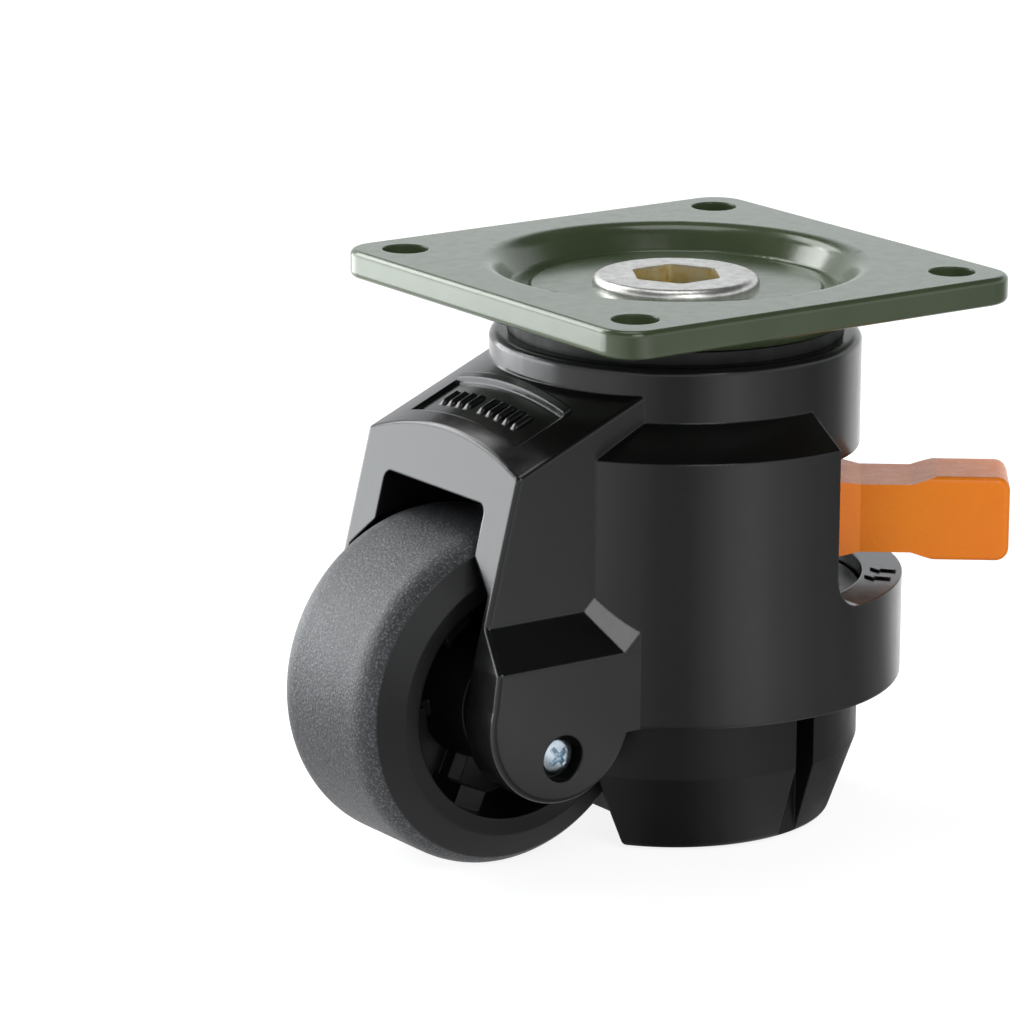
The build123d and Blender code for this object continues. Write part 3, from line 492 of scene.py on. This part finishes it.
def shelf_arrows(form):
    """Raised arrows that stand on the shelf."""
    for place in ARROW_PLACES:
        rings = {-ARROW_SINK: [], ARROW_RISE: []}
        for along, across in ARROW_OUTLINE:
            x = place[0] + along * math.cos(ARROW_TURN) - across * math.sin(ARROW_TURN)
            y = place[1] + along * math.sin(ARROW_TURN) + across * math.cos(ARROW_TURN)
            ground = top_of_housing(x * MM, y * MM, UNDER_LEVER_Z)
            for rise, ring in rings.items():
                ring.append(form.verts.new((x * MM, y * MM, ground + rise)))
        low, high = rings.values()
        join_rings(form, low, high)
        form.faces.new(low)
        form.faces.new(high)


piece("shelf_arrows", shelf_arrows, black, "swivel")

# ---------------------------------------------------------------- studio
ahead = Vector((to_camera.x, to_camera.y, 0)).normalized()
up = Vector((0, 0, 1))
FLOOR_GAP = 0.05 * MM  # keeps the floor clear of the flat sole
floor_z = cad_bounds[0].z - FLOOR_GAP
FLOOR_HALF = 6.0


def stage_plane(name, half, z, material):
    mesh = bpy.data.meshes.new(name)
    mesh.from_pydata(
        [(-half, -half, z), (half, -half, z), (half, half, z), (-half, half, z)], [], [(0, 1, 2, 3)]
    )
    mesh.materials.append(material)
    obj = bpy.data.objects.new(name, mesh)
    bpy.context.collection.objects.link(obj)


FLOOR_GREY = 0.32
FLOOR_WHITE = 0.86  # glow of the floor as the camera sees it
# glow of the floor as the object sees it, by direction in degrees to the right of the camera
FLOOR_GLOW = (
    (-180, 0.95), (-135, 0.95), (-105, 0.55), (-65, 0.85), (-40, 0.78), (-20, 0.42), (-5, 0.12),
    (5, 0.12), (15, 0.42), (25, 0.80), (35, 0.98), (50, 0.62), (68, 0.34), (90, 0.10), (110, 0.14),
    (137, 0.90), (180, 0.95),
)
GLOW_TOP = max(glow for _, glow in FLOOR_GLOW)
GLOW_NEAR = (40 * MM, 0.35)  # close around the object the floor is shaded: radius, share of glow
GLOW_FAR = 150 * MM


def floor_material():
    """White to the camera; to the object, a sweep with darker and brighter sides."""
    n = Nodes("floor")
    turned = n.add(
        "ShaderNodeMapping", {"Vector": n.place, "Rotation": (0, 0, CAMERA_AZIMUTH - math.pi / 2)}
    )
    across = n.add("ShaderNodeSeparateXYZ", {0: turned.outputs[0]})
    angle = n.maths("ARCTAN2", across.outputs["Y"], across.outputs["X"])
    ramp = n.add("ShaderNodeValToRGB", {"Fac": n.spread(angle, 0, 1, -math.pi, math.pi)})
    ramp.color_ramp.interpolation = "EASE"
    stops = ramp.color_ramp.elements
    while len(stops) < len(FLOOR_GLOW):
        stops.new(0.5)
    for stop, (degrees, glow) in zip(stops, FLOOR_GLOW):
        stop.position = (degrees + 180) / 360
        stop.color = (glow / GLOW_TOP,) * 3 + (1,)
    reach = n.length(n.place)
    shaded = n.spread(reach, GLOW_NEAR[1] * GLOW_TOP, GLOW_TOP, GLOW_NEAR[0], GLOW_FAR)
    to_object = n.maths("MULTIPLY", ramp.outputs["Color"], shaded)
    seen = n.add("ShaderNodeLightPath").outputs["Is Camera Ray"]
    glow = n.add("ShaderNodeMix", {0: seen, 2: to_object, 3: FLOOR_WHITE}, data_type="FLOAT")
    return n.set(
        Base_Color=(FLOOR_GREY, FLOOR_GREY, FLOOR_GREY, 1), Roughness=0.9,
        Emission_Color=(1, 1, 1, 1), Emission_Strength=glow.outputs[0],
    )


stage_plane("floor", FLOOR_HALF, floor_z, floor_material())


def studio_world(low, high, low_top, high_bottom):
    """White to the camera; to the object, pale up to the height low_top (the sine of its
    elevation) and dark from high_bottom.
    """
    world = bpy.data.worlds.new("studio")
    world.use_nodes = True
    tree = world.node_tree
    place = tree.nodes.new("ShaderNodeTexCoord")
    split = tree.nodes.new("ShaderNodeSeparateXYZ")
    ramp = tree.nodes.new("ShaderNodeMapRange")
    ramp.interpolation_type = "SMOOTHSTEP"
    tree.links.new(place.outputs["Generated"], split.inputs[0])
    tree.links.new(split.outputs["Z"], ramp.inputs["Value"])
    values = {"From Min": low_top, "From Max": high_bottom, "To Min": low, "To Max": high}
    for key, value in values.items():
        ramp.inputs[key].default_value = value
    background = tree.nodes["Background"]
    background.inputs["Color"].default_value = (0.95, 0.975, 1.0, 1)
    tree.links.new(ramp.outputs[0], background.inputs["Strength"])
    white = tree.nodes.new("ShaderNodeBackground")
    white.inputs["Color"].default_value = (1, 1, 1, 1)
    path = tree.nodes.new("ShaderNodeLightPath")
    seen = tree.nodes.new("ShaderNodeMixShader")
    tree.links.new(path.outputs["Is Camera Ray"], seen.inputs["Fac"])
    tree.links.new(background.outputs[0], seen.inputs[1])
    tree.links.new(white.outputs[0], seen.inputs[2])
    tree.links.new(seen.outputs[0], tree.nodes["World Output"].inputs["Surface"])
    bpy.context.scene.world = world


studio_world(low=1.0, high=0.06, low_top=0.38, high_bottom=0.55)


def softbox(name, direction, distance, width, height, energy, aim=CAMERA_TARGET, tint=(1, 1, 1)):
    """Area light at a direction and distance from the aim point, facing it."""
    data = bpy.data.lights.new(name, "AREA")
    data.shape = "RECTANGLE"
    data.size = width
    data.size_y = height
    data.energy = energy
    data.color = tint
    obj = bpy.data.objects.new(name, data)
    bpy.context.collection.objects.link(obj)
    away = Vector(direction).normalized()
    obj.location = aim + away * distance
    obj.rotation_mode = "QUATERNION"
    obj.rotation_quaternion = (-away).to_track_quat("-Z", "Y")


PANEL_W = 0.36
PANEL_H = 0.13  # low, so that the plate's top doesn't mirror it from behind
panel_way = Vector((0.61, -0.79, 0))  # where the hood's front face mirrors the camera
softbox(
    "left_panel", panel_way, 0.32, PANEL_W, PANEL_H, 0.75,
    aim=Vector((0, 0, floor_z + PANEL_H / 2)), tint=(0.95, 0.98, 1.0),
)
softbox("upper_left", (0.48, -0.88, 0.55), 0.6, 0.3, 0.22, 1.5)
softbox("overhead", up - 0.1 * ahead, 1.2, 0.6, 0.6, 2.5)
softbox("back_left", -0.55 * ahead - 0.50 * camera_right + 0.67 * up, 1.0, 0.42, 0.42, 2.5)
softbox("key", (0.20, 0.75, 0.64), 1.0, 0.4, 0.4, 2.2)
